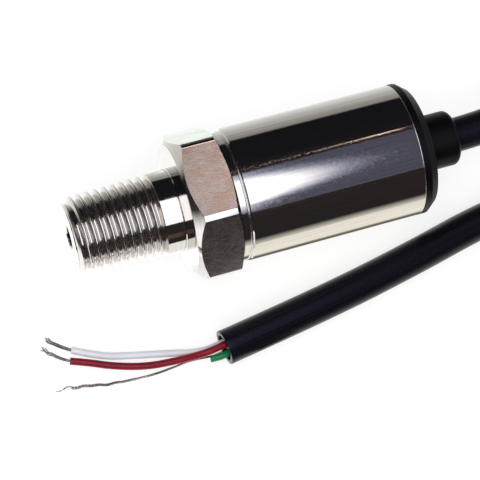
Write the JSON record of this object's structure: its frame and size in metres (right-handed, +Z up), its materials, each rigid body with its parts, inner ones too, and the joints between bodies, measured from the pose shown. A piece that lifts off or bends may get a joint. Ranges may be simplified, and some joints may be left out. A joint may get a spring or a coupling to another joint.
{
  "type": "pressure transmitter",
  "caption": "Cylindrical steel pressure transmitter with a tapered pipe thread, a wrench hexagon and a moulded cap with an attached cable ending in bare wires.",
  "frame": {"origin": "on the resting surface under the middle of the body, from the thread tip to the end of the cable boss", "axes": "+X along the body's axis from the thread tip to the cable, +Z up from the surface it lies on"},
  "size_m": [0.181, 0.0522, 0.0222],
  "materials": {
    "turned_steel": "turned and polished stainless steel, milled flats",
    "tube_steel": "drawn and polished stainless tube",
    "cell_steel": "fine turned stainless steel",
    "gauge": "silicon bars",
    "carrier_plastic": "moulded natural polyamide",
    "circuit_board": "solder resist over glass laminate",
    "flex_film": "polyimide film",
    "chip_black": "moulded epoxy",
    "capacitor_ceramic": "fired ceramic",
    "cap_plastic": "black moulded polyamide",
    "seal_rubber": "moulded nitrile rubber",
    "brass_plain": "turned brass",
    "cable_jacket": "extruded black PVC",
    "white_insulation": "extruded PVC",
    "red_insulation": "extruded PVC",
    "green_insulation": "extruded PVC",
    "tinned_copper": "tinned copper strands"
  },
  "bodies": {
    "root": {"process_fitting": "turned_steel", "sensor_cell": "cell_steel", "strain_gauges": "gauge", "ring_spacer": "carrier_plastic", "ring_board": "circuit_board", "flex_circuit": "flex_film", "board_carrier": "carrier_plastic", "amplifier_board": "circuit_board", "signal_chip": "chip_black", "regulator_chip": "chip_black", "chip_capacitors": "capacitor_ceramic", "chip_resistors": "chip_black", "housing_tube": "tube_steel", "end_cap": "cap_plastic", "cap_seal": "seal_rubber", "cable_bush": "seal_rubber", "bush_washer": "brass_plain", "cable_ferrule": "brass_plain", "white_lead": "white_insulation", "red_lead": "red_insulation", "green_lead": "green_insulation", "solder_joints": "tinned_copper", "cable_near": "cable_jacket", "cable_coil": "cable_jacket", "cable_far": "cable_jacket", "white_wire": "white_insulation", "white_wire_tip": "tinned_copper", "red_wire": "red_insulation", "red_wire_tip": "tinned_copper", "green_wire": "green_insulation", "drain_wire": "tinned_copper"}
  },
  "joints": []
}
